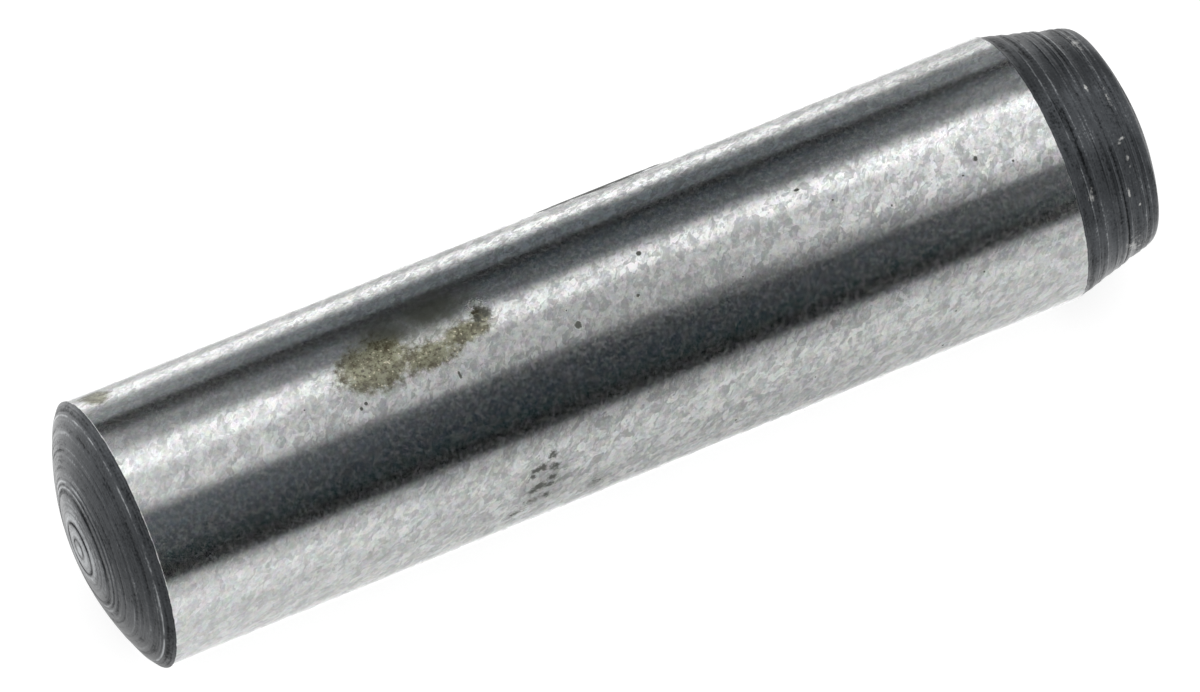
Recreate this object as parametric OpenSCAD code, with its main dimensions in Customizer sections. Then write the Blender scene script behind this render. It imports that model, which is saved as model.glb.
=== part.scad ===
// Hardened and ground dowel pin, turned from one bar and lying along X.
// Its ground shank is a press fit. The end at -X is crowned, and the end at +X
// has a tapered lead that starts the pin in its hole, with a crown of its own.
// The origin is on the axis, halfway along the ground shank.

/* [Shank] */
// Nominal diameter of the pin
pin_d = 8; // [6:0.5:12]
// How much the ground shank measures over the nominal diameter, for its press fit
grind_allowance = 0.01; // [0:0.002:0.02]
// Length from the edge of one end to the edge of the other, without the crowns
pin_length = 31.2; // [16:0.1:80]

/* [Crowned end] */
// Radius of the crown
crown_r = 8; // [7:0.5:16]
// Width of the bevel between the crown and the shank, measured along the radius
bevel_w = 0.24; // [0.1:0.02:0.6]
// Angle between that bevel and the end face
bevel_angle = 38; // [30:1:60]

/* [Lead] */
// Length of the tapered lead
lead_length = 2.6; // [1.4:0.1:5]
// Angle between the lead and the axis
lead_angle = 15; // [8:1:18]
// Radius of the crown behind the lead
lead_crown_r = 8; // [7:0.5:16]
// Radius that rounds the lead into its crown
nose_r = 0.15; // [0.05:0.05:0.4]

/* [Turning marks] */
// Radius of the tool tip, which each mark keeps as its section
tool_tip_r = 0.2; // [0.1:0.05:0.4]
// Depth of a mark
mark_depth = 0.012; // [0.004:0.002:0.02]
// Step between the marks across each crown
crown_feed = 0.41; // [0.3:0.01:0.8]
// Step between the marks along the lead
lead_feed = 0.3; // [0.26:0.01:0.6]

/* [Hidden] */

$fn = 120;
steel = [0.74, 0.75, 0.76];

shank_r = (pin_d + grind_allowance) / 2;

// How far a crown of radius r stands proud of its ring of radius ring_r
function crown_height(r, ring_r) = r - sqrt(r * r - ring_r * ring_r);

// Crowned end: places along the axis are measured from the middle of the ground shank.
// The edge of this end is where the crown would meet the shank with no bevel between them.
bevel_ring_r = shank_r - bevel_w;
bevel_len = bevel_w * tan(bevel_angle);
edge_to_ground = crown_height(crown_r, bevel_ring_r) + bevel_len - crown_height(crown_r, shank_r);
ground_len = pin_length - edge_to_ground - lead_length;
ground_x0 = -ground_len / 2;
ground_x1 = ground_len / 2;
bevel_x = ground_x0 - bevel_len;
crown_centre_x = bevel_x + sqrt(crown_r * crown_r - bevel_ring_r * bevel_ring_r);

// Lead: it runs down to the edge of its end, where its crown starts
lead_end_x = ground_x1 + lead_length;
lead_end_r = shank_r - lead_length * tan(lead_angle);
lead_crown_centre_x = lead_end_x - sqrt(lead_crown_r * lead_crown_r - lead_end_r * lead_end_r);

// The rounded nose touches the lead and its crown from inside. Its centre is nose_r from the
// lead's line, r = nose_line_r - x * tan(lead_angle), and lead_crown_r - nose_r from the
// crown's centre, so x solves a quadratic whose larger root is the one at the nose.
nose_line_r = shank_r + ground_x1 * tan(lead_angle) - nose_r / cos(lead_angle);
quad_a = 1 + pow(tan(lead_angle), 2);
quad_b = -2 * (lead_crown_centre_x + nose_line_r * tan(lead_angle));
quad_c = pow(lead_crown_centre_x, 2) + pow(nose_line_r, 2) - pow(lead_crown_r - nose_r, 2);
nose_x = (-quad_b + sqrt(quad_b * quad_b - 4 * quad_a * quad_c)) / (2 * quad_a);
nose_c_r = nose_line_r - nose_x * tan(lead_angle);
nose_turn = atan2(nose_x - lead_crown_centre_x, nose_c_r);
// The nose is left this much fuller than touching, which gives it a crisp edge on both sides
nose_fullness = 0.002;
// How far a cut reaches past the metal that it takes away
overrun = 1;

// The profile is drawn as [radius, place along the axis] and spun about the axis.
// Directions in it are angles from the radius towards +X.
function along(angle, length) = length * [cos(angle), sin(angle)];

// Bevel, shank and lead, with the bevel and the lead carried on past both crowns
module straight_profile() {
    tip_x = lead_crown_centre_x + lead_crown_r + overrun;
    polygon([
        [0, ground_x0 - shank_r * tan(bevel_angle)], [shank_r, ground_x0],
        [shank_r, ground_x1], [shank_r - (tip_x - ground_x1) * tan(lead_angle), tip_x], [0, tip_x]
    ]);
}

// What is cut away between two places along the axis to leave a crown of radius r
module crown_cut(r, centre_x, x0, x1) {
    difference() {
        translate([-overrun, x0]) square([shank_r + 2 * overrun, x1 - x0]);
        translate([0, centre_x]) circle(r = r);
    }
}

// What is cut away from the corner of lead and crown to leave the rounded nose
module nose_cut() {
    reach = 4 * nose_r;
    translate([nose_c_r, nose_x])
        difference() {
            polygon([
                [0, 0], along(lead_angle, reach), 2 * along((lead_angle + nose_turn) / 2, reach),
                along(nose_turn, reach)
            ]);
            circle(r = nose_r + nose_fullness);
        }
}

// Section of one mark: the tool's tip sunk by mark_depth into the surface at `place`,
// which faces outwards in the direction `facing`
module mark(place, facing) {
    translate(place + along(facing, tool_tip_r - mark_depth)) circle(r = tool_tip_r, $fn = 48);
}

// Marks ring a crown of radius r, a step apart, from near its middle to near outer_r.
// end is -1 for the crown that faces -X and 1 for the one that faces +X.
module crown_marks(r, centre_x, outer_r, end) {
    for (ring_r = [crown_feed : crown_feed : outer_r - crown_feed / 3]) {
        facing = end * (90 - asin(ring_r / r));
        mark([ring_r, centre_x + r * sin(facing)], facing);
    }
}

// Marks ring the lead, a step apart, and stop short of the shank and the nose
module lead_marks() {
    for (step = [lead_feed : lead_feed : lead_length - lead_feed])
        mark([shank_r - step * tan(lead_angle), ground_x1 + step], lead_angle);
}

module dowel_pin() {
    color(steel)
        rotate([0, 90, 0])
            rotate_extrude()
                difference() {
                    straight_profile();
                    crown_cut(crown_r, crown_centre_x, crown_centre_x - crown_r - shank_r,
                        (bevel_x + ground_x0) / 2);
                    crown_cut(lead_crown_r, lead_crown_centre_x, lead_end_x - nose_r,
                        lead_end_x + lead_crown_r + shank_r);
                    nose_cut();
                    crown_marks(crown_r, crown_centre_x, bevel_ring_r, -1);
                    crown_marks(lead_crown_r, lead_crown_centre_x, nose_c_r, 1);
                    lead_marks();
                }
}

dowel_pin();
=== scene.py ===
"""Dowel pin: its dressed model and the studio that it is shown in.

The pin is one bar of steel that lies along X. Its shank is ground bright, and both of its turned
ends keep the dark skin that hardening gave them: a crowned end at -X, with a narrow bevel, and a
tapered lead at +X, with a crown of its own. Sizes in this file are in millimetres unless a name
says otherwise, and the mesh is written in metres.
"""

import logging
import math
from collections.abc import Sequence
from dataclasses import dataclass, field
from enum import Enum

import bpy
import numpy as np
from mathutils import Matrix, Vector


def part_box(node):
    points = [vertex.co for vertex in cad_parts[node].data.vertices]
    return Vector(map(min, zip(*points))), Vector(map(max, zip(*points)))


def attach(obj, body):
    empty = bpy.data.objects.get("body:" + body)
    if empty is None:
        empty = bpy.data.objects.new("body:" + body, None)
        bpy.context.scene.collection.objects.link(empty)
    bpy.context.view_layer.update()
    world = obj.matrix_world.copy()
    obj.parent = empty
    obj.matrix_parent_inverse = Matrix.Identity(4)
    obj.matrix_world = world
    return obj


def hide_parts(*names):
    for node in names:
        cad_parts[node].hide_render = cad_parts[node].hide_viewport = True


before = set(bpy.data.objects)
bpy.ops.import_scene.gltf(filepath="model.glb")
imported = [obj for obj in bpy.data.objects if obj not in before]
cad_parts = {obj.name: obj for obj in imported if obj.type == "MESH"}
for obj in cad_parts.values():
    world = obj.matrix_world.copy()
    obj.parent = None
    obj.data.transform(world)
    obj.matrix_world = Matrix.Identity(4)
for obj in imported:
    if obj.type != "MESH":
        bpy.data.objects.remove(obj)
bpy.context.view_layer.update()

log = logging.getLogger("dowel_pin")

MM = 0.001

Triple = tuple[float, float, float]
Colour = Triple
Socket = bpy.types.NodeSocket
Input = Socket | float | Sequence[float]


# ---------------------------------------- sizes


@dataclass(frozen=True)
class PinSizes:
    """Sizes of the pin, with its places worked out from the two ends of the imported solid.

    Attributes:
        low: Lowest corner of the solid.
        high: Highest corner of the solid.
        crown_r: Radius of the crown at -X.
        bevel_w: Width of the bevel round that crown, along the radius.
        bevel_angle: Angle between the bevel and the end face, in degrees.
        lead_length: Length of the tapered lead.
        lead_angle: Angle between the lead and the axis, in degrees.
        lead_crown_r: Radius of the crown behind the lead.
    """

    low: Vector
    high: Vector
    crown_r: float = 8.0
    bevel_w: float = 0.24
    bevel_angle: float = 38.0
    lead_length: float = 2.6
    lead_angle: float = 15.0
    lead_crown_r: float = 8.0

    @property
    def shank_r(self) -> float:
        """Radius of the ground shank."""
        return max(self.high.z, -self.low.z)

    @property
    def bevel_ring_r(self) -> float:
        """Radius of the ring where the bevel meets the crown."""
        return self.shank_r - self.bevel_w

    @property
    def crown_centre_x(self) -> float:
        """Centre of the crown's sphere, on the axis."""
        return self.low.x + self.crown_r

    @property
    def bevel_x(self) -> float:
        """Place of the ring where the bevel meets the crown."""
        return self.crown_centre_x - math.sqrt(self.crown_r**2 - self.bevel_ring_r**2)

    @property
    def ground_x0(self) -> float:
        """Place where the ground shank starts, beside the bevel."""
        return self.bevel_x + self.bevel_w * math.tan(math.radians(self.bevel_angle))

    @property
    def lead_end_r(self) -> float:
        """Radius of the lead at its end."""
        return self.shank_r - self.lead_length * math.tan(math.radians(self.lead_angle))

    @property
    def lead_crown_centre_x(self) -> float:
        """Centre of the sphere of the crown behind the lead, on the axis."""
        return self.high.x - self.lead_crown_r

    @property
    def lead_end_x(self) -> float:
        """Place where the lead meets its crown."""
        return self.lead_crown_centre_x + math.sqrt(self.lead_crown_r**2 - self.lead_end_r**2)

    @property
    def ground_x1(self) -> float:
        """Place where the ground shank ends and the lead starts."""
        return self.lead_end_x - self.lead_length


# ---------------------------------------- turned relief


@dataclass(frozen=True)
class Ring:
    """A ring that the tool left on a turned face.

    Attributes:
        place: Where it lies: a radius on a crown, a distance from the shank on the lead.
        half_width: Half of its width.
        depth: How deep it is cut, or how far it stands up where this is below 0.
        tone: How much lighter than the face's its skin is painted as highlight, or darker as shade
            where this is below 0.
        oval: How far it is drawn out of round, as a share of its place.
    """

    place: float
    half_width: float
    depth: float
    tone: float
    oval: float = 0.0


class TurnedFace(Enum):
    """The three turned faces, each with the rings that stand out on it, lighter in painted
    highlight or darker in painted shade.
    """

    CROWN = (
        Ring(0.06, 0.08, 0, 2.2), Ring(0.29, 0.045, 0.005, -0.9),
        Ring(0.47, 0.08, 0, 0.5), Ring(0.755, 0.055, 0.016, -1.6, 0.03),
        Ring(0.93, 0.05, 0, 0.4), Ring(1.1, 0.03, 0.003, -0.4),
        Ring(1.28, 0.03, 0.003, -0.3), Ring(1.62, 0.08, 0.014, -0.7, 0.035),
        Ring(1.78, 0.035, -0.004, 1.15, 0.01), Ring(1.86, 0.03, 0.006, -0.3),
        Ring(1.95, 0.035, -0.003, 1.1), Ring(2.05, 0.035, 0.007, -0.2),
        Ring(2.19, 0.035, -0.003, 0.5), Ring(2.33, 0.035, 0.004, -0.3),
        Ring(2.69, 0.035, -0.003, 0.45), Ring(2.79, 0.03, 0.004, -0.3),
        Ring(2.9, 0.03, -0.003, 0.3), Ring(3, 0.03, 0.004, -0.2),
        Ring(3.26, 0.06, -0.004, 0.7), Ring(3.4, 0.055, 0.005, -0.25),
        Ring(3.58, 0.025, -0.002, 0.4), Ring(3.69, 0.034, -0.004, 1.5),
        Ring(3.76, 0.025, 0.006, -1.2),
    )
    LEAD = (
        Ring(0.17, 0.09, 0.014, -0.3), Ring(0.41, 0.026, -0.01, 0.6),
        Ring(0.58, 0.05, 0.006, -0.4), Ring(0.72, 0.024, -0.009, 0.6),
        Ring(0.92, 0.15, 0.018, 0), Ring(1.1, 0.022, -0.01, 0.6),
        Ring(1.27, 0.05, 0.014, -0.2), Ring(1.4, 0.024, -0.012, 0.7),
        Ring(1.51, 0.03, 0.014, -0.7), Ring(1.62, 0.026, -0.012, 0.9),
        Ring(1.82, 0.13, 0.022, 0), Ring(2.05, 0.02, 0.006, -0.3),
        Ring(2.15, 0.022, -0.01, 0.7), Ring(2.26, 0.03, 0.008, -0.2),
        Ring(2.36, 0.026, -0.01, 1),
    )
    LEAD_CROWN = (
        Ring(0.45, 0.1, 0.008, -0.6), Ring(0.95, 0.12, 0.012, -0.8),
        Ring(1.5, 0.12, 0.012, -0.6), Ring(2.05, 0.1, 0.01, -0.5),
        Ring(2.6, 0.14, 0.014, -0.6), Ring(3.02, 0.08, 0.01, -0.4),
    )


@dataclass(frozen=True)
class TurningMarks:
    """Relief of a turned face: its standing rings over fine marks a feed step apart, with their
    painted shade and highlights.

    Attributes:
        feed: Step between the fine marks.
        fine_depth: Depth of the deepest fine mark.
        fine_shade: How dark the painted shade in the deepest fine mark is.
        fine_bias: Power that makes most fine marks shallow.
        fine_width: Least and greatest half width of a fine mark, as a share of the step.
        jitter: How far a fine mark strays from its place, as a share of the step.
        runout: How far a ring wanders off its circle.
        full_runout: Half width from which a ring wanders so far.
        waves: Least number of its quick waves round the pin, and one more than the greatest.
        swelling: How far a ring swells and fades on its way round.
        flank: Turn halfway between the two flanks where light rings carry the most painted
            highlight, in degrees.
        between: How much painted highlight they carry there, as a share of that on the flanks.
        flank_from: Place on a face from which light rings carry their painted highlight so.
        seed: Seed of the fine marks.
    """

    feed: float = 0.065
    fine_depth: float = 0.0016
    fine_shade: float = -0.22
    fine_bias: float = 1.5
    fine_width: tuple[float, float] = (0.25, 0.45)
    jitter: float = 0.3
    runout: float = 0.012
    full_runout: float = 0.08
    waves: tuple[int, int] = (2, 9)
    swelling: float = 0.22
    flank: float = -32.0
    between: float = 0.35
    flank_from: float = 1.0
    seed: int = 7

    def cut(self, face: TurnedFace, place: np.ndarray,
            turn: np.ndarray) -> tuple[np.ndarray, np.ndarray]:
        """Depth of the relief below the plain face, and the painted shade and highlights on its
        skin.

        Every ring is a bell curve of its distance from `place`, which wanders round the pin as two
        slow waves, and it swells and fades on the way round. Depths add up, and so do painted shade
        and highlights. The plain face lies below the highest ridge that stands on it.

        Args:
            face: The face that is cut.
            place: Where each row of the face lies, as for a ring.
            turn: Angle of each column round the axis, in radians.

        Returns:
            One depth and one painted shade or highlight for each row and column.
        """
        rng = np.random.default_rng(self.seed + len(face.value))
        fine_at = np.arange(self.feed, float(place.max()), self.feed)
        share = rng.uniform(0.0, 1.0, fine_at.size) ** self.fine_bias
        table = np.array([[r.place, r.half_width, r.depth, r.tone, r.oval] for r in face.value])
        stray = rng.uniform(-self.jitter, self.jitter, fine_at.size)
        # Fine marks carry painted shade in proportion to their depth.
        fine = np.c_[fine_at + stray * self.feed,
                     self.feed * rng.uniform(*self.fine_width, fine_at.size),
                     self.fine_depth * share, self.fine_shade * share, 0 * share]
        depth = np.full((place.size, turn.size), max(0.0, *(-r.depth for r in face.value)))
        tone = np.zeros_like(depth)
        # Light rings carry a painted highlight that is strongest on two flanks of the pin.
        off_flank = turn - math.radians(self.flank)
        lit = self.between + (1 - self.between) * np.sin(off_flank) ** 2
        for at, half, deep, shade, oval in np.concatenate([table, fine]):
            phase = rng.uniform(0, math.tau, 4)
            wave = rng.integers(*self.waves)
            wander = np.sin(turn + phase[0]) + 0.3 * np.sin(wave * turn + phase[1])
            swell = np.sin(turn * rng.integers(1, 4) + phase[2]) + np.sin(turn * wave + phase[3])
            centre = at * (1 - oval * np.cos(2 * off_flank))
            centre = centre + self.runout * min(1.0, half / self.full_runout) * wander
            bell = np.exp(-(((place[:, None] - centre) / half) ** 2)) * (1 + self.swelling * swell)
            depth += deep * bell
            # Each ring adds painted shade or a painted highlight to the skin.
            tone += shade * bell * (lit if shade > 0 and at > self.flank_from else 1.0)
        return np.maximum(depth, 0.0), tone


# ---------------------------------------- nodes


class Graph:
    """Writes the nodes of one material or world, from left to right."""

    def __init__(self, tree: bpy.types.NodeTree) -> None:
        """Empties the tree and starts at its left.

        Args:
            tree: The node tree to write into.
        """
        self.tree = tree
        tree.nodes.clear()
        self.column = 0

    def add(self, kind: str, inputs: dict[str | int, Input] | None = None,
            **settings: object) -> bpy.types.Node:
        """Adds one node.

        Args:
            kind: Blender's name of the node's type, after its ShaderNode.
            inputs: What goes into its sockets, by name or number: another socket or a constant.
            **settings: The node's own settings.

        Returns:
            The node.
        """
        node = self.tree.nodes.new("ShaderNode" + kind)
        node.location = (self.column * 40, -(self.column % 9) * 120)
        self.column += 1
        for name, value in settings.items():
            setattr(node, name, value)
        for key, value in (inputs or {}).items():
            self.fill(node.inputs[key], value)
        return node

    def fill(self, socket: Socket, value: Input) -> None:
        """Links a socket to another one, or sets its constant.

        Args:
            socket: The socket that takes the value.
            value: The other socket or the constant.
        """
        if isinstance(value, Socket):
            self.tree.links.new(value, socket)
        else:
            socket.default_value = value

    def math(self, operation: str, *values: Input, clamp: bool = False) -> Socket:
        """One sum of numbers, kept between 0 and 1 where `clamp` is set."""
        pairs = dict(enumerate(values))
        return self.add("Math", pairs, operation=operation, use_clamp=clamp).outputs[0]

    def vector(self, operation: str, *values: Input, out: str = "Vector") -> Socket:
        """One sum of vectors, read at its output `out`."""
        pairs = dict(enumerate(values))
        return self.add("VectorMath", pairs, operation=operation).outputs[out]

    def stray(self, noise: Input, strength: Input, base: Input) -> Socket:
        """`base` plus `strength` times how far a noise is from its mean of 0.5."""
        return self.math("MULTIPLY_ADD", self.math("SUBTRACT", noise, 0.5), strength, base)

    def span(self, value: Input, low: float, high: float,
             to_low: float = 0.0, to_high: float = 1.0) -> Socket:
        """A smooth step from `to_low` to `to_high` as `value` goes from `low` to `high`."""
        pairs = {0: value, 1: low, 2: high, 3: to_low, 4: to_high}
        return self.add("MapRange", pairs, interpolation_type="SMOOTHSTEP").outputs[0]

    def noise(self, at: Input, scale: float = 1.0, detail: float = 2.0, roughness: float = 0.5,
              swirl: float = 0.0, shape: Triple | None = None, out: str | int = 0) -> Socket:
        """Smooth noise, about 0.5 on average.

        Args:
            at: Where it is read.
            scale: Waves per unit of length.
            detail: How many finer layers are added.
            roughness: How strong the finer layers are.
            swirl: How far the noise is stirred.
            shape: Factors for the place along each axis, where the noise is drawn out.
            out: The output to take: its value, unless another is named.

        Returns:
            The noise.
        """
        at = self.vector("MULTIPLY", at, shape) if shape else at
        pairs = {"Vector": at, "Scale": scale, "Detail": detail, "Roughness": roughness,
                 "Distortion": swirl}
        return self.add("TexNoise", pairs).outputs[out]

    def blend(self, share: Input, first: Input, second: Input) -> Socket:
        """A mix of two colours.

        Args:
            share: Share of the second one.
            first: Colour at share 0, as a socket or as red, green and blue.
            second: Colour at share 1, likewise.

        Returns:
            The mixed colour.
        """
        node = self.add("Mix", {0: share}, data_type="RGBA")
        for key, value in ((6, first), (7, second)):
            self.fill(node.inputs[key], (*value, 1.0) if isinstance(value, tuple) else value)
        return node.outputs[2]

    def mix(self, share: Input, first: Input, second: Input) -> Socket:
        """A mix of two numbers, where share 0 gives the first."""
        return self.add("Mix", {0: share, 2: first, 3: second}).outputs[0]


class PinGraph(Graph):
    """Writes the nodes of the pin's finish, which read the place on the pin in millimetres."""

    def __init__(self, tree: bpy.types.NodeTree) -> None:
        """Starts with the place on the pin.

        Args:
            tree: The node tree to write into.
        """
        super().__init__(tree)
        coords = self.add("TexCoord").outputs["Object"]
        scaled = self.add("VectorMath", {0: coords, "Scale": 1 / MM}, operation="SCALE")
        self.place = scaled.outputs["Vector"]


def new_material(name: str) -> bpy.types.Material:
    """Makes a material that is made up of nodes.

    Args:
        name: Its name.

    Returns:
        The material.
    """
    material = bpy.data.materials.new(name)
    material.use_nodes = True
    return material


def new_object(name: str, verts: np.ndarray, faces: list[list[int]]) -> bpy.types.Object:
    """Makes a mesh object at the origin and links it to the scene.

    Args:
        name: Name of the object and of its mesh.
        verts: Its vertices, one a row.
        faces: The numbers of each face's vertices.

    Returns:
        The object.
    """
    mesh = bpy.data.meshes.new(name)
    mesh.from_pydata((verts * MM).tolist(), [], faces)
    item = bpy.data.objects.new(name, mesh)
    bpy.context.scene.collection.objects.link(item)
    return item


# ---------------------------------------- finish


@dataclass(frozen=True)
class Blot:
    """An oval place on the pin's surface, of which marks are made up.

    Attributes:
        x: Its middle along the axis.
        turn: Its middle round the axis, in degrees from the top towards +Y.
        along: Half of its length along the axis.
        around: Half of its length round the axis.
        strength: How strong it is in its middle.
        r: Distance of its middle from the axis.
    """

    x: float
    turn: float
    along: float
    around: float
    strength: float = 1.0
    r: float = 4.005

    def nearness(self, g: PinGraph) -> Socket:
        """Its strength in its middle, 0 on its rim and below 0 outside it.

        Args:
            g: Where the nodes go.

        Returns:
            The nearness.
        """
        angle = math.radians(self.turn)
        middle = (self.x, self.r * math.sin(angle), self.r * math.cos(angle))
        shape = (1 / self.along, 1 / self.around, 1 / self.around)
        off = g.vector("MULTIPLY", g.vector("SUBTRACT", g.place, middle), shape)
        length = g.vector("LENGTH", off, out="Value")
        return g.math("MULTIPLY_ADD", length, -self.strength, self.strength)


@dataclass(frozen=True)
class MarkLayer:
    """How one kind of mark covers what is below it.

    Attributes:
        raggedness: How far noise wears its rim.
        rim: How wide the rim is, where 1 is a blot's own half length.
        share: How much it hides where it is full.
        blots: The blots that make it up.
    """

    raggedness: float
    rim: float
    share: float
    blots: tuple[Blot, ...]


class Mark(Enum):
    """The marks on the pin, in the order in which they lie on it: what it has picked up, and a dark
    streak.
    """

    HAZE = MarkLayer(1.0, 1.15, 0.90, (
        Blot(-5.7, 3.6, 1.72, 1.12, 1.3), Blot(-4.2, 7.4, 1.95, 0.95, 1.4),
        Blot(-4.35, -2.6, 1.78, 1.13, 0.8),
    ))
    STAIN = MarkLayer(1.7, 0.58, 0.92, (
        Blot(-6.4, -7, 1.47, 1.07, 1.3), Blot(-6.6, -1.5, 0.95, 0.55, 0.7),
        Blot(-4.9, -12.4, 1.42, 0.54, 1.1), Blot(-3.65, -8.8, 1.06, 0.46, 1.1),
        Blot(-3.05, -5, 0.42, 0.46), Blot(-13.64, 37.9, 0.53, 0.69, 1.1),
    ))
    RUB = MarkLayer(2.0, 0.8, 0.36, (
        Blot(-2.8, -84.5, 0.95, 1.1, 1.5), Blot(-1.3, -96, 0.75, 0.55),
    ))
    SMUDGE = MarkLayer(4.5, 1.4, 0.85, (
        Blot(-3.2, -77.6, 0.16, 0.16, 1.8), Blot(-3.06, -75.2, 0.22, 0.15, 2.2),
        Blot(-2.84, -74.6, 0.2, 0.17, 2.2), Blot(-2.48, -70.4, 0.2, 0.2, 1.8),
        Blot(-2.52, -76.4, 0.28, 0.22, 1.6), Blot(-2.62, -82, 0.26, 0.17, 1.8),
        Blot(-3.24, -86.1, 0.24, 0.15, 1.8), Blot(-3.02, -84.3, 0.3, 0.19, 2.3),
        Blot(-2.72, -85.8, 0.36, 0.14, 1.6), Blot(-2.84, -92, 0.22, 0.2, 1.6),
        Blot(-3.3, -92, 0.46, 0.26, 1.3), Blot(-3.8, -97.4, 0.46, 0.13, 1.3),
        Blot(-1.22, -97.4, 0.3, 0.3), Blot(-3.02, -1, 0.32, 0.38, 1.7),
        Blot(-3.16, -4.4, 0.2, 0.3, 1.8), Blot(-2.86, -3.6, 0.22, 0.34, 1.6),
    ))
    CRUST = MarkLayer(5.0, 1.2, 0.85, (
        Blot(-6.9, -3, 0.3, 0.3, 0.6), Blot(-6.2, -9.5, 0.4, 0.26, 0.5),
        Blot(-5, -12, 0.4, 0.26, 0.5), Blot(-3.14, -1.6, 0.22, 0.26, 1.2),
    ))
    PIT = MarkLayer(1.1, 0.5, 0.92, (
        Blot(-0.64, -23.3, 0.14, 0.16), Blot(1.87, -4.7, 0.11, 0.1),
        Blot(6.81, -4.7, 0.11, 0.06), Blot(11.9, -20.9, 0.09, 0.12),
        Blot(1.3, -21.3, 0.08, 0.07), Blot(-7.31, -22.1, 0.075, 0.075),
        Blot(-7.13, -20.9, 0.07, 0.075), Blot(-4.33, -24.1, 0.06, 0.18, 0.8),
        Blot(9.1, -26, 0.05, 0.06, 0.7), Blot(7.61, -14.7, 0.05, 0.04, 0.7),
        Blot(9.7, -102.3, 0.06, 0.07, 0.7), Blot(11.36, -25.4, 0.05, 0.04, 0.7),
        *(Blot(x, turn, 0.05, 0.05, 0.7) for x, turn in (
            (-8.8, -14), (4.3, -30), (12.88, -27.4), (10.07, -80.6), (-0.08, -86.5),
            (11.08, -66.5), (5.62, -86.2), (-0.76, -16), (3.12, -93.6))),
    ))
    # A dark streak along the upper back of the shank.
    DARK_STREAK = MarkLayer(7.0, 1.9, 0.92, (
        Blot(0.62, 51.4, 0.46, 0.32, 2), Blot(1.12, 52.8, 0.66, 0.52, 2.6),
        Blot(1.72, 54.6, 0.85, 0.64, 3), Blot(2.2, 52, 0.95, 0.62, 3.2),
        Blot(2.98, 53.6, 0.78, 0.76, 3.2), Blot(3.45, 51.4, 0.74, 0.46, 2.6),
        Blot(3.98, 52.2, 0.44, 0.34, 2), Blot(2.55, 60.5, 0.5, 0.3, 1.6),
    ))
    SCUFF = MarkLayer(2.2, 0.6, 1.0, (
        Blot(15.89, -7.5, 0.06, 0.15, 0.8, 3.57), Blot(16.27, -35.9, 0.13, 0.06, 0.8, 3.47),
        Blot(16.12, -37.5, 0.1, 0.05, 0.6, 3.51), Blot(15.97, -61.9, 0.06, 0.17, 1, 3.55),
        Blot(16.25, -70.6, 0.07, 0.07, 1, 3.47), Blot(16.35, -15, 0.05, 0.2, 0.4, 3.45),
        Blot(16.22, -46, 0.04, 0.25, 0.3, 3.48), Blot(14.75, -53, 0.1, 0.2, 0.3, 3.88),
        Blot(16.45, 24, 0.14, 0.4, 0.5, 3.42), Blot(15.95, -97, 0.3, 0.45, 0.35, 3.55),
    ))

    def cover(self, g: PinGraph, rag: Socket) -> Socket:
        """How fully the mark covers a place: 0 outside it, and 1 within its rim.

        Args:
            g: Where the nodes go.
            rag: Noise that wears the mark's rim.

        Returns:
            The cover.
        """
        near = self.value.blots[0].nearness(g)
        for blot in self.value.blots[1:]:
            near = g.math("MAXIMUM", near, blot.nearness(g))
        return g.span(g.stray(rag, self.value.raggedness, near), 0.0, self.value.rim)


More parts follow.
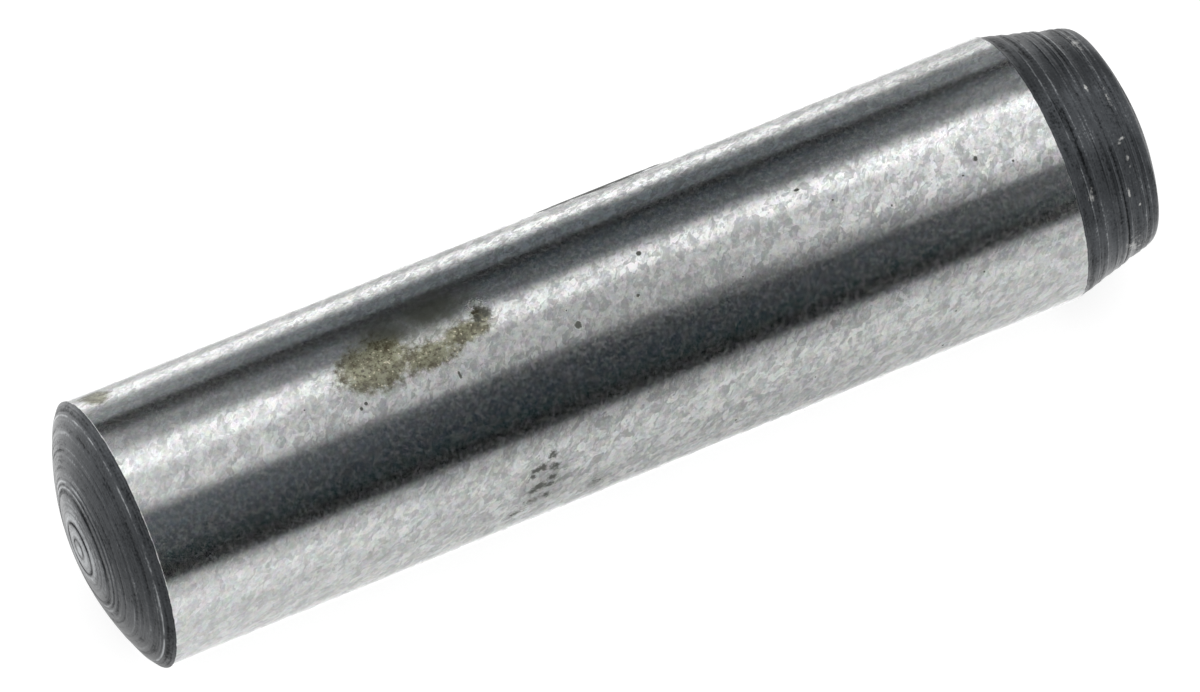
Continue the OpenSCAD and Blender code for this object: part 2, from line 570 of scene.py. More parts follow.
@dataclass(frozen=True)
class GroundSteel:
    """The ground shank: bright steel with a satin, blotchy grain that leans round the pin.

    Attributes:
        light: Colour of its light patches.
        dull: Colour of its dull patches.
        twist: How far the grain turns round the pin, in radians for each millimetre.
        wave_height: Height of its faint waves.
        clouds: Share of clouds in the grain.
        ribs: Share of ribs that run round the pin.
        flecks: Share of small flecks.
        leaves: Sizes of its leaf shapes, each with its share of the grain.
        shine: Roughness of a light patch and of a dull one.
        matt: How much rougher its small matt flecks are.
        deepens: Where its grain starts to deepen towards +X, where it stops, and how deep it is
            at either place.
        eases: The same, for a grain that eases again near the lead.
        calmer: The same upwards, for a grain that is calmer low on the pin.
        tinge: How far its colour strays from patch to patch.
    """

    light: Colour = (0.80, 0.81, 0.805)
    dull: Colour = (0.38, 0.39, 0.39)
    twist: float = 0.11
    wave_height: float = 0.0014
    clouds: float = 0.36
    ribs: float = 0.05
    flecks: float = 0.25
    leaves: tuple[tuple[float, float], ...] = ((0.22, 0.20), (0.105, 0.14))
    shine: tuple[float, float] = (0.13, 0.20)
    matt: float = 0.065
    deepens: tuple[float, ...] = (-14.0, 1.0, 0.50, 1.06)
    eases: tuple[float, ...] = (3.5, 13.0, 1.0, 0.66)
    calmer: tuple[float, ...] = (0.5, 3.4, 0.74, 1.0)
    tinge: float = 0.34

    def patches(self, g: PinGraph) -> Socket:
        """The blotchy grain, about 0.5 on average: clouds, small flecks and crisp leaf shapes.

        Args:
            g: Where the nodes go.

        Returns:
            The grain.
        """
        x, _, z = g.add("SeparateXYZ", {0: g.place}).outputs
        lean = g.math("MULTIPLY", x, self.twist)
        twisted = g.add("VectorRotate", {"Vector": g.place, "Angle": lean},
                        rotation_type="X_AXIS").outputs[0]
        clouds = g.noise(twisted, 1.0, 5.0, 0.70, 0.4, shape=(1.9, 2.1, 2.1))
        stir = g.noise(twisted, 3.0, out="Color")
        stirred = g.vector("MULTIPLY_ADD", stir, (0.5, 0.5, 0.5), twisted)
        flecks = g.noise(g.place, 10.0, 2.0, 0.7)
        ribs = g.noise(g.place, 1.0, 1.0, shape=(2.6, 0.5, 0.5))
        total = g.math("MULTIPLY", clouds, self.clouds)
        total = g.math("MULTIPLY_ADD", ribs, self.ribs, total)
        total = g.math("MULTIPLY_ADD", flecks, self.flecks, total)
        drawn_out = g.vector("MULTIPLY", stirred, (0.86, 1.0, 1.0))
        for size, share in self.leaves:
            cells = g.add("TexVoronoi", {"Vector": drawn_out, "Scale": 1 / size})
            leaf = g.add("SeparateColor", {0: cells.outputs["Color"]}).outputs[0]
            total = g.math("MULTIPLY_ADD", leaf, share, total)
        depth = g.math("MULTIPLY", g.span(x, *self.deepens), g.span(x, *self.eases))
        depth = g.math("MULTIPLY", depth, g.span(z, *self.calmer))
        return g.stray(total, depth, 0.5)

    def waves(self, g: PinGraph) -> Socket:
        """Height of the faint waves that bend the steel's reflections."""
        slow = g.noise(g.place, 1.0, 2.0, 0.55, shape=(1.3, 2.2, 2.2))
        return g.math("MULTIPLY", slow, self.wave_height)

    def colour(self, g: PinGraph, patches: Socket) -> Socket:
        """Colour of the steel, from its patches, which stray a little to warm and to cool.

        Args:
            g: Where the nodes go.
            patches: The blotchy grain.

        Returns:
            The colour.
        """
        stray = g.noise(g.place, 4.5, 3.0, 0.7, out="Color")
        tinge = g.vector("MULTIPLY_ADD", stray, [self.tinge] * 3, [1 - self.tinge / 2] * 3)
        plain = g.blend(g.span(patches, 0.35, 0.65), self.dull, self.light)
        return g.vector("MULTIPLY", plain, tinge)

    def dullness(self, g: PinGraph, patches: Socket) -> Socket:
        """Roughness of the steel, from its patches, with small matt flecks.

        Args:
            g: Where the nodes go.
            patches: The blotchy grain.

        Returns:
            The roughness.
        """
        rough = g.span(patches, 0.36, 0.64, self.shine[1], self.shine[0])
        flecks = g.span(g.noise(g.place, 7.5, 3.0, 0.75), 0.38, 0.70)
        return g.math("MULTIPLY_ADD", flecks, self.matt, rough)


@dataclass(frozen=True)
class HardeningSkin:
    """The dark skin of hardening that stays on the turned ends, with painted shade in its grooves
    and painted highlights on its light rings.

    Attributes:
        groove_shade: Its darkest colour, the painted shade in grooves and on the bevel.
        face: Its colour on a plain face.
        skin_light: Its lightest colour, on painted highlights and in the lighter middle of the
            crown.
        roughness: How rough a plain face is.
        valley_roughness: How rough a groove is.
        pale_middle_r: Radius inside which the crown's middle is lighter.
        pale_middle_soft: How wide the edge of that lighter middle is.
        pale_middle_levels: How light the skin is inside that edge and outside it.
        ring_share: How much a ring's painted shade and highlight tell.
        line_scale: Waves per millimetre of the fine lines, along the profile and across.
        line_share: How much the fine lines tell.
        cloud_share: How much the slow clouds and the small specks tell.
    """

    groove_shade: Colour = (0.013, 0.0145, 0.016)
    face: Colour = (0.069, 0.074, 0.080)
    skin_light: Colour = (0.455, 0.475, 0.49)
    roughness: float = 0.30
    valley_roughness: float = 0.70
    pale_middle_r: float = 1.40
    pale_middle_soft: float = 0.55
    pale_middle_levels: tuple[float, float] = (0.76, 0.44)
    ring_share: float = 0.45
    line_scale: Triple = (20.0, 1.2, 1.2)
    line_share: float = 0.40
    cloud_share: float = 0.70

    def level(self, g: PinGraph) -> Socket:
        """How light the skin is: 0 in grooves under painted shade, above 0.5 on painted highlights,
        light lines and the crown's lighter middle.

        Args:
            g: Where the nodes go.

        Returns:
            The level.
        """
        tone = g.add("Attribute", attribute_name="tone").outputs["Fac"]
        run = g.add("Attribute", attribute_name="run").outputs["Fac"]
        y, z = g.add("SeparateXYZ", {0: g.place}).outputs[1:3]
        across = g.vector("MULTIPLY", g.place, (0.0, 1.0, 1.0))
        radius = g.vector("LENGTH", across, out="Value")
        ringed = g.add("CombineXYZ", {0: run, 1: y, 2: z}).outputs[0]
        lines = g.noise(ringed, 1.0, 2.0, 0.6, shape=self.line_scale)
        specks = g.noise(g.place, 13.0, 2.0, 0.7)
        breaks = g.span(g.noise(ringed, 1.0, 3.0, shape=(2.0, 1.4, 1.4)), 0.34, 0.56, 0.25)
        slow = g.noise(ringed, 1.0, 3.0, 0.6, shape=(1.6, 0.7, 0.7))
        # Light rings add painted highlight, and dark rings and the bevel add painted shade.
        shown = g.math("MULTIPLY", g.math("MAXIMUM", tone, 0.0), breaks)
        sunk = g.math("MINIMUM", tone, 0.0)
        level = g.span(radius, self.pale_middle_r - self.pale_middle_soft, self.pale_middle_r + self.pale_middle_soft,
                       *self.pale_middle_levels)
        for part in (shown, sunk):
            level = g.math("MULTIPLY_ADD", part, self.ring_share, level)
        level = g.stray(lines, self.line_share, level)
        level = g.stray(slow, self.cloud_share, level)
        return g.stray(specks, self.cloud_share, level)

    def colour(self, g: PinGraph, level: Socket) -> Socket:
        """Colour of the skin, from how light it is: painted shade darkens it, painted highlights
        lighten it.
        """
        dark = g.blend(g.span(level, 0.0, 0.5), self.groove_shade, self.face)
        return g.blend(g.span(level, 0.5, 1.1), dark, self.skin_light)

    def dullness(self, g: PinGraph, level: Socket) -> Socket:
        """Roughness of the skin, from how light it is."""
        return g.span(level, 0.0, 0.5, self.valley_roughness, self.roughness)


@dataclass(frozen=True)
class Dirt:
    """What has dried on the pin or been rubbed off it, and a dark streak along it.

    Attributes:
        film: Colour of thin grease over steel.
        crust: Colour of thick, dried grease.
        cream: Colour of pale grains in it.
        haze: Colour of its thin edge.
        smudge: Colour of a dark smudge.
        dark_streak: Colour of a dark streak along the upper back of the shank.
        bare: Colour of metal that a knock has laid bare.
        roughness: How rough dried grease is.
        haze_roughness: How rough its thin edge is.
        grit_roughness: How rough smudges, pits and the dark streak are.
    """

    film: Colour = (0.218, 0.219, 0.145)
    crust: Colour = (0.060, 0.050, 0.028)
    cream: Colour = (0.53, 0.49, 0.37)
    haze: Colour = (0.117, 0.122, 0.095)
    smudge: Colour = (0.14, 0.145, 0.13)
    dark_streak: Colour = (0.075, 0.078, 0.072)
    bare: Colour = (0.45, 0.45, 0.44)
    roughness: float = 0.28
    haze_roughness: float = 0.26
    grit_roughness: float = 0.80

    def over(self, g: PinGraph, steel: Socket, rough: Socket) -> tuple[Socket, Socket]:
        """Lays every mark over the steel.

        Args:
            g: Where the nodes go.
            steel: Colour of the steel below.
            rough: Roughness of the steel below.

        Returns:
            The colour and the roughness.
        """
        coarse = g.noise(g.place, 2.4, 6.0, 0.75)
        fine = g.noise(g.place, 6.0, 3.0, 0.65)
        grain = g.noise(g.place, 10.0, 1.0)
        speckle = g.noise(g.place, 12.0, 4.0, 0.8, shape=(0.7, 1.0, 1.0))
        streaks = g.noise(g.place, 7.0, 4.0, 0.8, shape=(0.35, 1.6, 1.6))
        grease = g.blend(g.span(coarse, 0.40, 0.66), self.film, self.crust)
        grease = g.blend(g.span(grain, 0.57, 0.68), grease, self.crust)
        grease = g.blend(g.span(grain, 0.36, 0.26), grease, self.cream)
        looks: dict[Mark, tuple[Socket, Input]] = {
            Mark.HAZE: (coarse, self.haze), Mark.STAIN: (coarse, grease),
            Mark.RUB: (coarse, self.smudge), Mark.SMUDGE: (speckle, self.smudge),
            Mark.CRUST: (speckle, self.crust), Mark.PIT: (fine, self.smudge),
            Mark.DARK_STREAK: (streaks, self.dark_streak), Mark.SCUFF: (fine, self.bare),
        }
        covers: dict[Mark, Socket] = {}
        for mark in Mark:
            rag, tint = looks[mark]
            covers[mark] = mark.cover(g, rag)
            steel = g.blend(g.math("MULTIPLY", covers[mark], mark.value.share), steel, tint)
        rough = g.mix(covers[Mark.HAZE], rough, self.haze_roughness)
        rough = g.mix(covers[Mark.STAIN], rough, self.roughness)
        rough = g.mix(covers[Mark.DARK_STREAK], rough, self.grit_roughness)
        gritty = g.math("MAXIMUM", covers[Mark.SMUDGE], covers[Mark.PIT])
        return steel, g.mix(gritty, rough, self.grit_roughness)


@dataclass(frozen=True)
class PinSteel:
    """The whole finish of the pin: ground shank, dark turned ends and the marks on them.

    Attributes:
        sizes: Sizes and places of the pin.
        ground: The ground shank.
        skin: The dark skin.
        dirt: The marks.
        border_softness: Half of the width of the border between skin and ground steel.
        border_wander: How far that border wanders along the pin.
        overlap: How far the skin reaches on to the shank at the lead.
        gleam: How far bare steel reaches on to the bevel, or the skin on to the shank where this is
            below 0.
        directionality: How much further the grinding spreads light along the pin.
        edge_tint: How white the steel gleams at a low angle.
    """

    sizes: PinSizes
    ground: GroundSteel = field(default_factory=GroundSteel)
    skin: HardeningSkin = field(default_factory=HardeningSkin)
    dirt: Dirt = field(default_factory=Dirt)
    border_softness: float = 0.012
    border_wander: float = 0.03
    overlap: float = 0.025
    gleam: float = -0.009
    directionality: float = 0.45
    edge_tint: float = 1.0

    def skin_share(self, g: PinGraph) -> Socket:
        """1 on the turned ends and 0 on the ground shank, with a border that wanders a little.

        Args:
            g: Where the nodes go.

        Returns:
            The share.
        """
        s, soft = self.sizes, self.border_softness
        x = g.add("SeparateXYZ", {0: g.place}).outputs[0]
        at = g.stray(g.noise(g.place, 3.5, 3.0, 0.6), self.border_wander * 2, x)
        start, end = s.ground_x0 - self.gleam, s.ground_x1 - self.overlap
        crown = g.span(at, start - soft, start + soft, 1.0, 0.0)
        return g.math("ADD", crown, g.span(at, end - soft, end + soft))

    def build(self) -> bpy.types.Material:
        """Makes the material.

        Returns:
            The material, which reads Object coordinates, the mesh's `run` and the painted shade and
            highlights that the mesh keeps.
        """
        material = new_material("hardened_steel")
        g = PinGraph(material.node_tree)
        skin = self.skin_share(g)
        patches = self.ground.patches(g)
        # How light the skin is, with its painted shade and highlights.
        skin_light = self.skin.level(g)
        bare = g.blend(skin, self.ground.colour(g, patches), self.skin.colour(g, skin_light))
        rough = g.mix(skin, self.ground.dullness(g, patches), self.skin.dullness(g, skin_light))
        colour, rough = self.dirt.over(g, bare, rough)
        waves = self.ground.waves(g)
        bump = g.add("Bump", {"Height": waves, "Strength": 1.0, "Distance": MM})
        tangent = g.add("Tangent", direction_type="RADIAL", axis="X")
        shader = g.add("BsdfPrincipled", {
            "Base Color": colour, "Metallic": 1.0, "Roughness": rough,
            "Normal": bump.outputs[0], "Tangent": tangent.outputs[0],
            "Anisotropic": self.directionality, "Anisotropic Rotation": 0.25,
            "Specular Tint": (*[self.edge_tint] * 3, 1.0),
        })
        out = g.add("OutputMaterial", {"Surface": shader.outputs[0]})
        out.is_active_output = True
        return material


# ---------------------------------------- the pin


@dataclass
class DowelPin:
    """The pin: a closed surface spun from one profile, with its turned relief.

    Attributes:
        sizes: Sizes and places of the pin.
        marks: Relief of the turned ends.
        columns: Number of columns round the axis.
        end_step: Distance between rows on the crown at -X and on the lead.
        far_step: Distance between rows on the crown behind the lead.
        shank_rows: Number of rows on the plain shank.
        arc_points: Number of points on the arc of a crown's sharp profile.
        bell_reach: How far a rounding reaches, where 1 is how far its edge is rounded.
        bell_points: Number of points over which it takes its mean.
        edge_soft: How far an edge is rounded.
        nose_soft: How far the lead's end is rounded.
        nose_reach: How far from that end the rounding eases back to that of an edge.
        nose_rows: How far past that end the rows stay close together.
        fade: How wide the relief fades out beside the bevel and the shank.
        nose_fade: How wide it fades out at the lead's end.
        crown_margin: How far from the bevel the relief of the crown ends.
        far_margin: How far from the lead the relief of its crown ends.
        bevel_shade: How much darker painted shade makes the bevel than the crown.
        bevel_gain: How much of that it loses towards the shank.
        bevel_lines: Number of painted light and dark lines round the bevel.
        bevel_line_shading: How much lighter and darker these painted lines are.
        bevel_line_wander: How far they wander across the bevel, in radians of their wave.
    """

    sizes: PinSizes
    marks: TurningMarks = field(default_factory=TurningMarks)
    columns: int = 160
    end_step: float = 0.0145
    far_step: float = 0.05
    shank_rows: int = 24
    arc_points: int = 400
    bell_reach: float = 3.0
    bell_points: int = 41
    edge_soft: float = 0.016
    nose_soft: float = 0.11
    nose_reach: float = 0.25
    nose_rows: float = 0.3
    fade: float = 0.05
    nose_fade: float = 0.10
    crown_margin: float = 0.02
    far_margin: float = 0.05
    bevel_shade: float = 0.38
    bevel_gain: float = 0.24
    bevel_lines: float = 2.6
    bevel_line_shading: float = 0.11
    bevel_line_wander: float = 0.8

    def outline(self) -> tuple[np.ndarray, np.ndarray]:
        """The sharp profile, from the crown's middle at -X to the one at +X.

        A crown is the arc of its sphere, and bevel, shank and lead are straight lines.

        Returns:
            Distances along the profile, and its points as (place along the axis, radius).
        """
        s = self.sizes
        near = np.linspace(0.0, math.asin(s.bevel_ring_r / s.crown_r), self.arc_points)
        far = np.linspace(math.asin(s.lead_end_r / s.lead_crown_r), 0.0, self.arc_points)
        points = np.concatenate([
            np.c_[s.crown_centre_x - s.crown_r * np.cos(near), s.crown_r * np.sin(near)],
            [[s.ground_x0, s.shank_r], [s.ground_x1, s.shank_r]],
            np.c_[s.lead_crown_centre_x + s.lead_crown_r * np.cos(far),
                  s.lead_crown_r * np.sin(far)],
        ])
        steps = np.hypot(*np.diff(points, axis=0).T)
        return np.r_[0.0, np.cumsum(steps)], points

    def rows(self, run: np.ndarray, points: np.ndarray) -> np.ndarray:
        """Where the rows of the mesh lie along the profile: close together on both ends.

        Args:
            run: Distances along the sharp profile.
            points: Its points.

        Returns:
            Distances along the profile, without the two poles.
        """
        s = self.sizes
        shank_start = float(run[np.argmax(points[:, 0] >= s.ground_x0)])
        shank_end = shank_start + s.ground_x1 - s.ground_x0
        lead_end = shank_end + math.hypot(s.lead_length, s.shank_r - s.lead_end_r)
        margin = 4 * self.edge_soft
        near = np.arange(self.end_step, shank_start + margin, self.end_step)
        lead = np.arange(shank_end - margin, lead_end + self.nose_rows, self.end_step)
        middle = np.linspace(near[-1], lead[0], self.shank_rows + 2)[1:-1]
        far = np.arange(lead[-1] + self.far_step, run[-1] - self.far_step / 2, self.far_step)
        return np.concatenate([near, middle, lead, far])

    def softened(self, at: np.ndarray, run: np.ndarray, points: np.ndarray) -> np.ndarray:
        """The profile with its edges rounded.

        Each point is the mean of the sharp profile over a short stretch round it, weighted by a
        bell curve. The stretch is longer at the lead's end. Past a pole the profile is mirrored in
        the axis.

        Args:
            at: Distances along the profile.
            run: Distances along the sharp profile.
            points: Its points.

        Returns:
            The points, as (place along the axis, radius).
        """
        nose_at = float(run[-self.arc_points])
        nearness = np.exp(-(((at - nose_at) / self.nose_reach) ** 2))
        soft = self.edge_soft + (self.nose_soft - self.edge_soft) * nearness
        reach = np.linspace(-self.bell_reach, self.bell_reach, self.bell_points)
        weight = np.exp(-(reach**2) / 2)
        weight = weight / weight.sum()
        where = at[:, None] + soft[:, None] * reach[None, :]
        side = np.where((where < 0) | (where > run[-1]), -1.0, 1.0)
        where = np.where(where < 0, -where, where)
        where = np.where(where > run[-1], 2 * run[-1] - where, where)
        along = np.interp(where, run, points[:, 0])
        radius = np.interp(where, run, points[:, 1]) * side
        return np.c_[(along * weight).sum(1), (radius * weight).sum(1)]

    def relief(self, line: np.ndarray, turn: np.ndarray) -> tuple[np.ndarray, np.ndarray]:
        """Depth of the turned relief, with its painted shade and highlights. It fades out at the
        shank and on every edge.

        Args:
            line: The profile's points.
            turn: Angles of the columns.

        Returns:
            The depths and the painted shade and highlights, for every row and column.
        """
        s = self.sizes
        x, r = line.T
        crown_fade = (s.bevel_ring_r - self.crown_margin - r) / self.fade
        lead_fade = np.minimum((x - s.ground_x1) / self.fade, (s.lead_end_x - x) / self.nose_fade)
        far_fade = (s.lead_end_r - self.far_margin - r) / self.nose_fade
        on_lead = (x > s.ground_x1) & (x <= s.lead_end_x)
        zones = {
            TurnedFace.CROWN: (x < s.ground_x0, r, crown_fade),
            TurnedFace.LEAD: (on_lead, x - s.ground_x1, lead_fade),
            TurnedFace.LEAD_CROWN: (x > s.lead_end_x, r, far_fade),
        }
        depth = np.zeros((line.shape[0], turn.size))
        tone = np.zeros_like(depth)
        for face, (rows, place, fade) in zones.items():
            share = np.clip(fade[rows], 0, 1)[:, None]
            deep, shade = self.marks.cut(face, place[rows], turn)
            depth[rows] = share * deep
            tone[rows] = share * shade
        # The bevel gets painted shade that eases towards the shank, and painted light and dark
        # lines.
        bevel = (x > s.bevel_x) & (x < s.ground_x0)
        share = (r[bevel, None] - s.bevel_ring_r) / s.bevel_w
        wave = math.tau * self.bevel_lines * share + self.bevel_line_wander * np.sin(turn)
        tone[bevel] += (self.bevel_gain * share - self.bevel_shade
                        + self.bevel_line_shading * np.cos(wave))
        return depth, tone

    def build(self) -> bpy.types.Object:
        """Makes the pin's mesh.

        The profile is pushed in by its relief along its own normal, and spun about the axis: a
        point is (x, r sin(turn), r cos(turn)). One vertex closes each pole.

        Returns:
            The pin's object.
        """
        run, points = self.outline()
        at = self.rows(run, points)
        line = self.softened(at, run, points)
        turn = np.linspace(0.0, math.tau, self.columns, endpoint=False)
        depth, tone = self.relief(line, turn)
        tangent = np.gradient(line, at, axis=0)
        tangent /= np.hypot(*tangent.T)[:, None]
        normal = np.c_[-tangent[:, 1], tangent[:, 0]]
        x = line[:, 0, None] - depth * normal[:, 0, None]
        r = line[:, 1, None] - depth * normal[:, 1, None]
        rows, columns = depth.shape
        grid = np.stack([x, r * np.sin(turn), r * np.cos(turn)], axis=-1).reshape(-1, 3)
        poles = np.array([[x[0].mean(), 0, 0], [x[-1].mean(), 0, 0]])

        index = np.arange(rows * columns).reshape(rows, columns)
        beside = np.roll(index, -1, axis=1)
        quads = np.stack([index[:-1], index[1:], beside[1:], beside[:-1]], axis=-1).reshape(-1, 4)
        first = np.stack([np.full(columns, rows * columns), index[0], beside[0]], axis=-1)
        last = np.stack([np.full(columns, rows * columns + 1), beside[-1], index[-1]], axis=-1)
        faces = quads.tolist() + first.tolist() + last.tolist()
        pin = new_object("turned_pin", np.concatenate([grid, poles]), faces)
        mesh = pin.data
        mesh.polygons.foreach_set("use_smooth", np.ones(len(mesh.polygons), bool))
        # The mesh keeps the painted shade and highlights of its relief, for the skin's colour.
        self.store(mesh, "tone", tone, tone[0].mean(), tone[-1].mean())
        self.store(mesh, "run", np.repeat(at, columns), 0.0, run[-1])
        mesh.validate()
        mesh.update()
        return pin

    @staticmethod
    def store(mesh: bpy.types.Mesh, name: str, values: np.ndarray, first: float,
              last: float) -> None:
        """Writes one number for each vertex into the mesh.

        Args:
            mesh: The pin's mesh.
            name: Name of the attribute.
            values: Numbers of the grid's vertices.
            first: Number of the pole at -X.
            last: Number of the pole at +X.
        """
        attribute = mesh.attributes.new(name, "FLOAT", "POINT")
        flat = np.r_[values.ravel(), first, last].astype(np.float32)
        attribute.data.foreach_set("value", flat)

    def dress(self, pin: bpy.types.Object) -> None:
        """Gives the pin its finish and its place in the part.

        Args:
            pin: The pin's object.
        """
        pin.data.materials.append(PinSteel(self.sizes).build())
        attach(pin, "root")
        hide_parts("dowel_pin")


# ---------------------------------------- the studio


@dataclass(frozen=True)
class Panel:
    """One panel of the light tent, as the pin sees it.

    Attributes:
        start: Angle where it starts, in degrees up from the front, at -Y.
        end: Angle where it ends.
        level: How bright it is, where 1 is white.
        soft: How wide its edges are, in degrees.
        x_low: Where it starts along the tent.
        x_high: Where it ends.
        x_soft: How wide its ends are, in millimetres.
        tint: Colour of its light.
        lean: How much its end leans, in degrees for each millimetre along the tent.
    """

    start: float
    end: float
    level: float
    soft: float = 2.0
    x_low: float = 2.0
    x_high: float = 60.0
    x_soft: float = 12.0
    tint: Colour = (1.0, 1.0, 1.0)
    lean: float = 0.0


@dataclass
class LightTent:
    """A round tent about the pin, which only its polished metal shows.

    Attributes:
        radius: Radius of the tent about the pin's axis.
        x_low: Its end at -X.
        x_high: Its end at +X.
        angles: Number of points round it, over a whole turn from its lowest angle.
        places: Number of points along it.
        lowest: Angle where it starts, in degrees up from the front.
        middle: Where along it a leaning panel has its own angle.
        panels: Its panels, each over the ones before it. Where there is none, the tent is white.
    """

    radius: float = 115.0
    x_low: float = -700.0
    x_high: float = 190.0
    angles: int = 451
    places: int = 201
    lowest: float = -100.0
    middle: float = 31.0
    panels: tuple[Panel, ...] = (
        # The far ends of the tent, which the turned ends show.
        Panel(-120, 280, 0.78, 4, -900, -100, 60),
        Panel(150, 205, 1.3, 12, -700, -110, 40),
        Panel(242, 290, 0.6, 10, -900, -110, 40),
        Panel(-120, -60, 0.6, 10, -900, -70, 40),
        Panel(115, 165, 0.46, 14, 75, 260),
        Panel(-20, 45, 0.68, 20, 80, 260),
        # The pale lower side of the pin.
        Panel(-93, 3, 0.71, 12, 16.5, 48, 24, (1, 1.01, 0.995)),
        Panel(-92, -42, 0.59, 14, 27, 42, 16),
        Panel(-9, 7, 0.46, 10, 15, 45.5, 18),
        Panel(-6, 6, 0.39, 8, 29, 39.5, 6),
        Panel(-33, -8, 1.1, 8, 0, 17.6, 4),
        # The light side above its dark band.
        Panel(54, 99, 0.355, 8, 19, 41, 22),
        Panel(54, 97, 1.34, 8, 40, 90, 10),
        Panel(73, 84, 0.15, 6, 33.5, 39.5, 6),
        Panel(62, 74.5, 0.95, 10, 36, 60, 8),
        Panel(72, 84, 0.95, 6, -20, 18, 6),
        Panel(64, 85, 1.3, 8, 41.3, 60, 4),
        Panel(54, 69.5, 0.42, 8, -5, 42, 14),
        Panel(63.5, 69.5, 0.62, 5, 0, 27.5, 5),
        Panel(54, 76.5, 0.03, 6, 28.5, 35, 8),
        # The dark band along its middle.
        Panel(4, 59.6, 0.02, 10, -4, 58.5, 16, (0.6, 1, 1.35), lean=-0.31),
        Panel(44, 64, 0.1, 12, -10, 20, 8, (0.85, 1, 1.15)),
        Panel(30, 53, 0.06, 12, 40, 60, 6, (0.92, 1, 1.1)),
        Panel(46, 60.8, 0.01, 6, 22, 39.5, 8, (0.6, 1, 1.35), lean=-0.25),
        Panel(10, 30, 0.017, 10, -14, 62, 16, (0.3, 1, 1.1)),
        Panel(7.5, 21, 0.001, 5, -14, 62, 16, (0, 1, 1)),
        Panel(51.8, 63.5, 0.66, 5, 41.4, 60, 3),
        # The bright strip along its top.
        Panel(88, 98, 0.36, 6, 33, 39, 6),
        Panel(86, 98, 0.72, 8, 10, 22.5, 6),
        Panel(99.5, 111.5, 1.06, 6),
        Panel(97, 119, 1.5, 6, -60, 17.5, 6),
        Panel(99, 115, 1.62, 6, 40.5, 120, 8),
        Panel(116.5, 126, 0.78, 8, 19, 60, 10),
        # The darker side behind that.
        Panel(119, 150, 0.083, 14, 8.5, 54, 28, (0.85, 1, 1.12)),
        Panel(139, 158, 0.03, 14, 5, 56, 30, (0.7, 1, 1.25)),
        Panel(154, 178, 0.145, 14, 7, 54, 26, (0.87, 1, 1.09)),
        Panel(175, 181.5, 0.3, 5, 33, 60, 8),
        Panel(148, 157, 0.012, 4, -4, 60, 16),
        Panel(141, 151, 0.05, 8, -10, 20.5, 8),
        # Its far side, and the floor under it.
        Panel(184, 196, 1.35, 6, -40, 41),
        Panel(181, 197, 1.42, 6, -40, 16.5, 6),
        Panel(199, 218, 0.72, 6, 5, 110),
        Panel(215, 242, 0.72, 6, 50, 110, 8),
        Panel(196, 216, 1.6, 8, -80, -10, 16),
        Panel(242, 290, 0.6, 14, -70, 10),
        Panel(228, 236, 1.6, 4, -34, -14, 6),
        Panel(217, 290, 1.5, 6, 6, 47, 10),
        Panel(-130, -101, 1.5, 6, 3, 47, 10),
    )

    def glow(self, angle: np.ndarray, x: np.ndarray) -> np.ndarray:
        """Light of the tent: the panels over white, each with soft edges.

        Args:
            angle: Angles up from the front, in degrees.
            x: Places along the axis.

        Returns:
            The light at every angle and place, as a colour.
        """
        light = np.ones((*np.broadcast(angle, x).shape, 3))
        for panel in self.panels:
            end = panel.end + panel.lean * (x - self.middle)
            share = self.window(angle, panel.start, end, panel.soft)
            share = share * self.window(x, panel.x_low, panel.x_high, panel.x_soft)
            colour = panel.level * np.array(panel.tint)
            light = light + (colour - light) * share[..., None]
        return light

    @staticmethod
    def window(value: np.ndarray, low: float, high: np.ndarray | float,
               soft: float) -> np.ndarray:
        """1 between two values and 0 outside them, with a smooth step at each.

        Args:
            value: Where it is read.
            low: Where it opens.
            high: Where it closes.
            soft: How wide each step is.

        Returns:
            The window, from 0 to 1.
        """
        rise = np.clip((value - low) / soft + 0.5, 0, 1)
        fall = np.clip((high - value) / soft + 0.5, 0, 1)
        share = np.minimum(rise, fall)
        return share * share * (3 - 2 * share)

    def build(self) -> bpy.types.Object:
        """Makes the tent: a pipe about the pin's axis, seen by mirrored rays alone.

        A point is (x, -radius cos(angle), radius sin(angle)), for a whole turn.

        Returns:
            The tent's object.
        """
        angle = np.linspace(self.lowest, self.lowest + 360.0, self.angles)
        x = np.linspace(self.x_low, self.x_high, self.places)
        a, along = np.meshgrid(angle, x, indexing="ij")
        turn = np.radians(a)
        verts = np.stack([along, -self.radius * np.cos(turn), self.radius * np.sin(turn)], -1)
        index = np.arange(a.size).reshape(a.shape)
        quads = np.stack([index[:-1, :-1], index[:-1, 1:], index[1:, 1:], index[1:, :-1]], -1)
        tent = new_object("light_tent", verts.reshape(-1, 3), quads.reshape(-1, 4).tolist())
        light = self.glow(a, along).reshape(-1, 3)
        glow = tent.data.attributes.new("glow", "FLOAT_COLOR", "POINT")
        rgba = np.c_[light, np.ones(len(light))].astype(np.float32)
        glow.data.foreach_set("color", rgba.ravel())
        for ray in ("camera", "diffuse", "transmission", "volume_scatter", "shadow"):
            setattr(tent, f"visible_{ray}", False)
        material = new_material("tent_cloth")
        g = Graph(material.node_tree)
        seen = g.add("Attribute", attribute_name="glow").outputs["Color"]
        cloth = g.add("Emission", {"Color": seen, "Strength": 1.0})
        g.add("OutputMaterial", {"Surface": cloth.outputs[0]})
        material.cycles.emission_sampling = "NONE"
        tent.data.materials.append(material)
        return tent


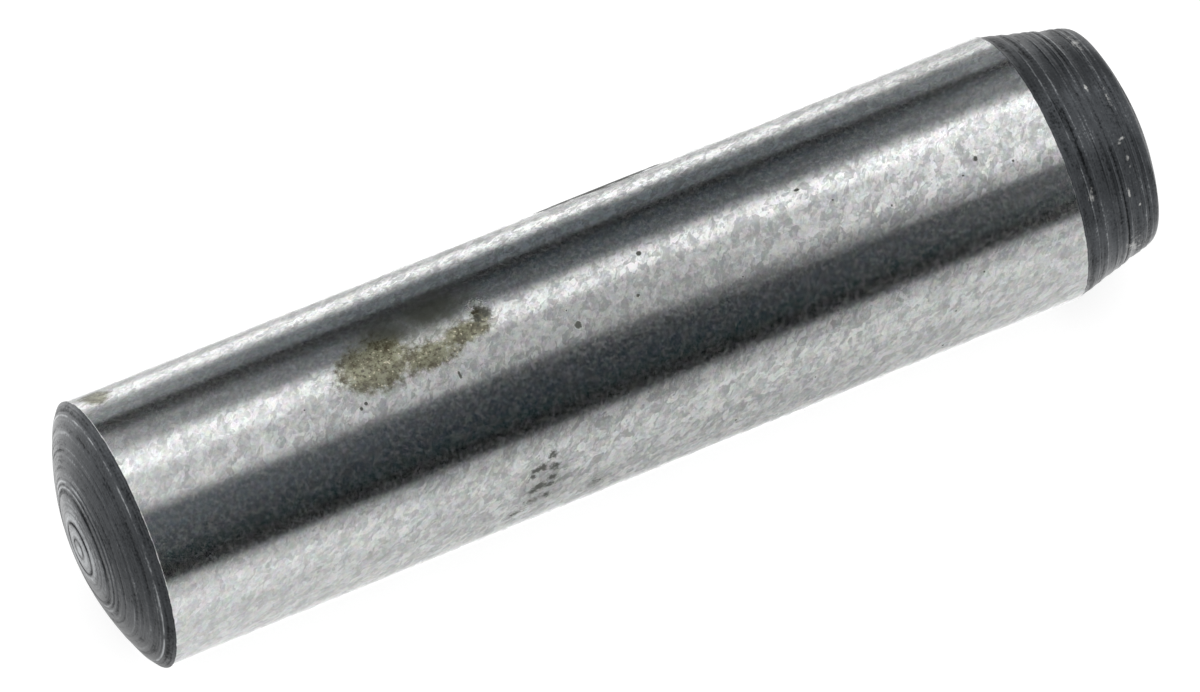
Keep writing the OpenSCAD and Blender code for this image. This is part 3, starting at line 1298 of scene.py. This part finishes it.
@dataclass
class Studio:
    """Floor, world, tent and camera.

    Attributes:
        floor_z: Height of the floor, where the pin lies.
        azimuth: Where the camera stands round the pin, in degrees from -Y towards +X.
        elevation: How high it stands, in degrees above the floor.
        distance: Distance from the camera to its target.
        target: What the camera looks at.
        view_width: Width of the view at the target.
        sensor: Width of the camera's sensor.
        floor_half: Half of the floor's width.
        floor_albedo: How much of the light that falls on the floor it gives back.
        floor_glow: How bright the camera and mirrored rays see it besides.
    """

    floor_z: float
    azimuth: float = -26.164
    elevation: float = 55.063
    distance: float = 430.7
    target: Triple = (0.757, -0.140, -0.088)
    view_width: float = 33.85
    sensor: float = 36.0
    floor_half: float = 3000.0
    floor_albedo: float = 0.38
    floor_glow: float = 0.78

    def back(self) -> Vector:
        """Direction from the target to the camera.

        Returns:
            The direction, with a length of 1.
        """
        a = math.radians(self.azimuth)
        e = math.radians(self.elevation)
        return Vector((math.sin(a) * math.cos(e), -math.cos(a) * math.cos(e), math.sin(e)))

    def add_camera(self) -> bpy.types.Object:
        """Makes the camera, with a long lens and no shift.

        Returns:
            The camera's object.
        """
        data = bpy.data.cameras.new("camera")
        data.sensor_width = self.sensor
        data.lens = self.sensor * self.distance / self.view_width
        data.clip_start = 0.01
        data.clip_end = 20.0
        camera = bpy.data.objects.new("camera", data)
        camera.location = (Vector(self.target) + self.back() * self.distance) * MM
        camera.rotation_mode = "QUATERNION"
        camera.rotation_quaternion = (-self.back()).to_track_quat("-Z", "Y")
        bpy.context.scene.collection.objects.link(camera)
        bpy.context.scene.camera = camera
        return camera

    def add_world(self) -> None:
        """Makes the world: even white light from all sides."""
        world = bpy.data.worlds.new("white_room")
        world.use_nodes = True
        g = Graph(world.node_tree)
        light = g.add("Background", {"Color": (1, 1, 1, 1), "Strength": 1.0})
        g.add("OutputWorld", {"Surface": light.outputs[0]})
        bpy.context.scene.world = world

    def add_floor(self) -> bpy.types.Object:
        """Makes the white floor, which keeps the pin's shadow.

        Returns:
            The floor's object.
        """
        h, z = self.floor_half, self.floor_z
        corners = np.array([[-h, -h, z], [h, -h, z], [h, h, z], [-h, h, z]])
        floor = new_object("floor", corners, [[0, 1, 2, 3]])
        material = new_material("white_board")
        g = Graph(material.node_tree)
        ray = g.add("LightPath").outputs
        seen = g.math("ADD", g.math("ADD", ray["Is Camera Ray"], ray["Is Glossy Ray"]),
                      ray["Is Transmission Ray"], clamp=True)
        board = g.add("BsdfDiffuse", {"Color": (*[self.floor_albedo] * 3, 1)})
        glow = g.add("Emission", {
            "Color": (1, 1, 1, 1), "Strength": g.math("MULTIPLY", seen, self.floor_glow)})
        both = g.add("AddShader", {0: board.outputs[0], 1: glow.outputs[0]})
        g.add("OutputMaterial", {"Surface": both.outputs[0]})
        floor.data.materials.append(material)
        floor.visible_glossy = False
        return floor

    def build(self) -> None:
        """Makes everything that the pin is shown in."""
        self.add_camera()
        self.add_world()
        self.add_floor()
        LightTent().build()
        view = bpy.context.scene.view_settings
        view.view_transform = "Standard"


# ---------------------------------------- main


def main() -> None:
    """Builds the pin and its studio, in order."""
    logging.basicConfig(level=logging.INFO, format="%(name)s: %(message)s")
    low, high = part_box("dowel_pin")
    sizes = PinSizes(low / MM, high / MM)
    log.info("shank radius %.4f, ground from %.4f to %.4f", sizes.shank_r, sizes.ground_x0,
             sizes.ground_x1)
    pin = DowelPin(sizes)
    piece = pin.build()
    pin.dress(piece)
    log.info("%s: %d vertices, %d faces", piece.name, len(piece.data.vertices),
             len(piece.data.polygons))
    Studio(floor_z=sizes.low.z).build()


if __name__ == "__main__":
    main()
